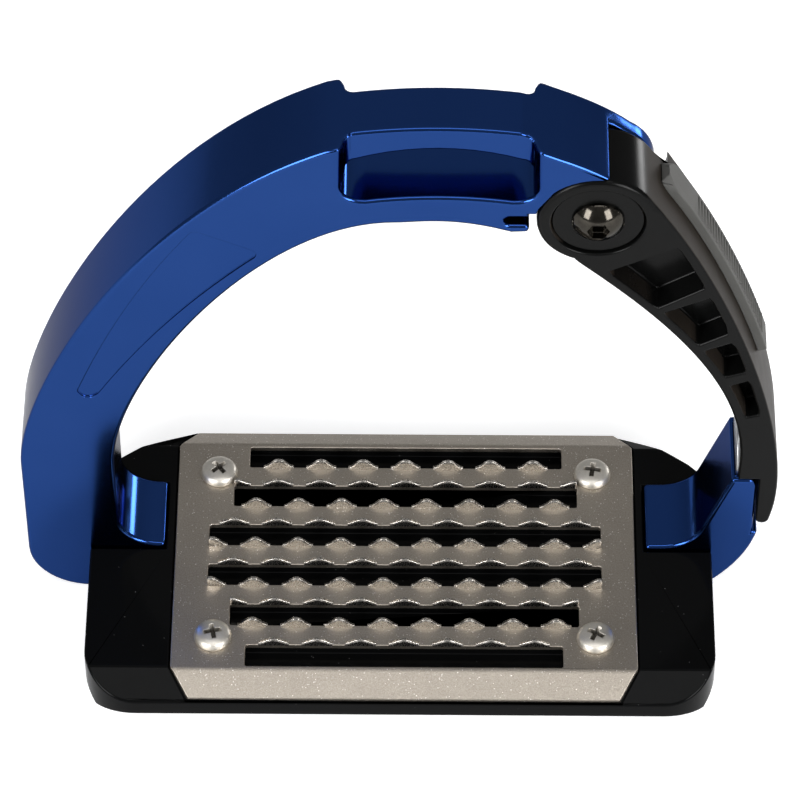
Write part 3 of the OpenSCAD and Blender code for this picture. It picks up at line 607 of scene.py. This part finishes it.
# --- Rubber strip ------------------------------------------------------------------------------
# Soft grey rubber, moulded on to the arm's outer face so that it doesn't rattle or mark what it
# brushes. A row of low ribs gives the thumb a grip when the arm is set back.
rubber = Finish("grey_rubber", Specular_IOR_Level=0.3)
rubber_grain = rubber.noise(0.25, 3.0)
rubber_cloud = rubber.noise(8, 2.0)
rubber.set(Base_Color=rubber_cloud.between((0.075, 0.074, 0.070), (0.100, 0.099, 0.094)),
           Roughness=0.50 + 0.15 * rubber_grain)
rubber.relief(rubber_grain, 0.02)
outer_edge = [Vector(p) for p in ((48.7, 126.5), (64.8, 103.3), (83.2, 51.2), (77.5, 25.2))]
rib_from, rib_to, rib_count, strip_height, strip_middle = 0.17, 0.50, 26, 2.0, 1.2
rib_half_width, rib_height, rib_half_length, rib_root = 0.42, 0.28, 2.4, 0.2
spots, spins = [], []
for k in range(rib_count):
    t = rib_from + (rib_to - rib_from) * k / (rib_count - 1)
    a, b, c, d = outer_edge
    place = a * (1 - t) ** 3 + b * 3 * t * (1 - t) ** 2 + c * 3 * t * t * (1 - t) + d * t ** 3
    run = ((b - a) * (1 - t) ** 2 + (c - b) * 2 * t * (1 - t) + (d - c) * t * t).normalized()
    place += Vector((-run.y, run.x)) * strip_height
    spots.append((place.x * MM, strip_middle * MM, place.y * MM))
    spins += [0, math.atan2(-run.y, run.x), 0]
plan = bpy.data.meshes.new("rib_spots")
plan.from_pydata(spots, [], [])
plan.attributes.new("turn", "FLOAT_VECTOR", "POINT").data.foreach_set("vector", spins)
places = bpy.data.objects.new("rib_spots", plan)
bpy.context.collection.objects.link(places)
skin = bmesh.new()
rib_top = [(rib_half_width * math.cos(math.radians(a)), rib_height * math.sin(math.radians(a)))
           for a in range(0, 181, 30)]
prism(skin, rib_top + [(-rib_half_width, -rib_root), (rib_half_width, -rib_root)], 1,
      -rib_half_length, rib_half_length)
rib = new_piece("grip_rib", skin)
ribs = grown("grip_ribs", turned_tree, {"Places": places, "Shape": rib, "Finish": rubber.material})
for spare in (places, rib):
    bpy.data.objects.remove(spare)

strip = cast("arm_bumper", "arm_bumper_visual", 0.25)
for piece in (ribs, strip):
    mount(piece, rubber, "arm", "grey_rubber", "arm_bumper")

# --- Pivot screw -------------------------------------------------------------------------------
# M6 button head with a hexagon socket, blackened and polished by handling, over a plastic washer
# that closes the boss's counterbore.
mount(cast("front_washer", "front_washer_visual", 0.15), arm_black, "iron", "black_satin_plastic",
      "front_washer")
dark = Finish("blackened_steel", Metallic=1.0)
dark_rub = dark.noise(0.5, 3.0)
dark.set(Base_Color=dark_rub.between((0.030, 0.027, 0.023), (0.072, 0.066, 0.056)),
         Roughness=0.09 + 0.07 * dark_rub)
mount(cast("pivot_screw", "pivot_screw_visual", 0.2), dark, "iron", "dark_steel", "pivot_screw")

# --- Stage -------------------------------------------------------------------------------------
# White sweep, seen as plain white by the camera and in the metal, which still takes the shadow.
# The room behind it is dim; a wide softbox hangs over the front, two more stand beside the camera.
floor_mesh = bpy.data.meshes.new("studio_floor")
floor_mesh.from_pydata([(-3, -3, 0), (3, -3, 0), (3, 3, 0), (-3, 3, 0)], [], [(0, 1, 2, 3)])
floor = bpy.data.objects.new("studio_floor", floor_mesh)
bpy.context.collection.objects.link(floor)
paper = bpy.data.materials.new("white_sweep")
paper.use_nodes = True
plain = Wire(paper.node_tree)
plain.tree.nodes.clear()
ray = plain.tree.nodes.new("ShaderNodeLightPath")
direct = plain.maths("MAXIMUM", Wire(plain.tree, ray.outputs["Is Camera Ray"]),
                     Wire(plain.tree, ray.outputs["Is Transmission Ray"]))
spot = plain.add("ShaderNodeTexCoord", out=3)
across, along = (plain.add("ShaderNodeSeparateXYZ", {0: spot}, out=k) for k in (0, 1))
near = (along - 1.3 * across).ramp((0.02, 0.18), (0.24, 0.06))
seen = direct + (1 - direct) * Wire(plain.tree, ray.outputs["Is Glossy Ray"]) * near
matt = plain.add("ShaderNodeBsdfDiffuse", {"Color": (0.8, 0.8, 0.8)})
glow = plain.add("ShaderNodeEmission", {"Color": (1, 1, 1), "Strength": seen * 0.55})
lit = plain.add("ShaderNodeAddShader", {0: matt, 1: glow})
plain.add("ShaderNodeOutputMaterial", {"Surface": lit})
floor_mesh.materials.append(paper)

world = bpy.data.worlds.new("studio")
bpy.context.scene.world = world
world.use_nodes = True
sky = Wire(world.node_tree)
sky.tree.nodes.clear()
ray = sky.tree.nodes.new("ShaderNodeLightPath")
seen = sky.maths("MAXIMUM", Wire(sky.tree, ray.outputs["Is Camera Ray"]),
                 Wire(sky.tree, ray.outputs["Is Transmission Ray"]))
glossy = Wire(sky.tree, ray.outputs["Is Glossy Ray"])
height = sky.add("ShaderNodeSeparateXYZ", {0: sky.add("ShaderNodeTexCoord", out=0)}, out=2)
room = (height * 0.5 + 0.5).ramp((0.0, 0.8), (0.47, 0.30), (0.60, 0.24), (1.0, 0.34))
level = seen + (1 - seen) * (glossy * room + (1 - glossy) * 0.50)
sky.add("ShaderNodeOutputWorld",
        {"Surface": sky.add("ShaderNodeBackground", {"Color": (1, 1, 1), "Strength": level})})


def softbox(name, place, size, power):
    """A lamp at a place in metres, turned to the object, that the camera doesn't see."""
    lamp = bpy.data.lights.new(name, "AREA")
    lamp.shape, lamp.size, lamp.size_y, lamp.energy = "RECTANGLE", *size, power
    stand = bpy.data.objects.new(name, lamp)
    facing = (Vector((0, 0, 0.06)) - Vector(place)).to_track_quat("-Z", "Y")
    stand.matrix_world = Matrix.Translation(place) @ facing.to_matrix().to_4x4()
    stand.visible_camera = False
    bpy.context.collection.objects.link(stand)


softbox("front_softbox", (0, -0.36, 1.10), (0.90, 0.36), 2.4)
softbox("left_softbox", (-0.72, -0.88, 0.52), (0.42, 0.70), 11)
softbox("right_softbox", (0.72, -0.88, 0.52), (0.42, 0.70), 11)
softbox("back_strip", (0.80, 0.68, 0.12), (0.10, 0.22), 1.2)

tilt, turn = math.radians(51), math.radians(0.45)
view = Vector((-math.sin(turn) * math.cos(tilt), math.cos(turn) * math.cos(tilt), -math.sin(tilt)))
camera = bpy.data.objects.new("camera", bpy.data.cameras.new("camera"))
camera.data.lens, camera.data.sensor_width = 216, 36
camera.data.clip_start, camera.data.clip_end = 0.05, 20
camera.location = Vector((3.83, -633.7, 835.4)) * MM
camera.rotation_euler = view.to_track_quat("-Z", "Y").to_euler()
bpy.context.collection.objects.link(camera)
bpy.context.scene.camera = camera
bpy.context.scene.view_settings.view_transform = "Standard"
